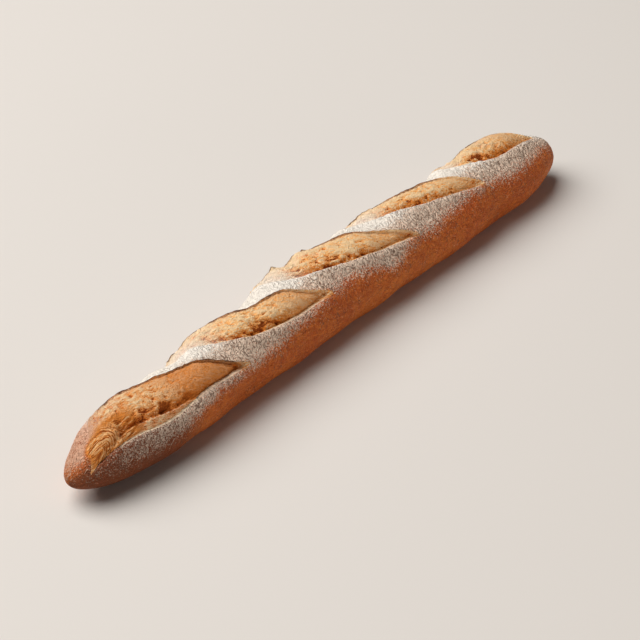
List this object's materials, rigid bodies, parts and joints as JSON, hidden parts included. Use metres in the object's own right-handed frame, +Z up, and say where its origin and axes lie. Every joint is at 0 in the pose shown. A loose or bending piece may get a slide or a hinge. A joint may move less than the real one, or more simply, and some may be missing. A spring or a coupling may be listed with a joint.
{
  "type": "baguette",
  "caption": "Long crusty loaf with a flat base, slashed on the slant along its top; the slashes have torn open between floured bands of crust.",
  "frame": {"origin": "middle of the bounding box, on the surface that the loaf rests on", "axes": "+X runs along the loaf from its pointed end to its round end, +Z points up from the flat base, and the floured lips of the slashes face -Y"},
  "size_m": [0.56, 0.0658, 0.0547],
  "materials": {
    "browned_crust": "baked crust, orange brown and dull, dusted with flour on top"
  },
  "bodies": {
    "root": {"baguette": "browned_crust"}
  },
  "joints": []
}
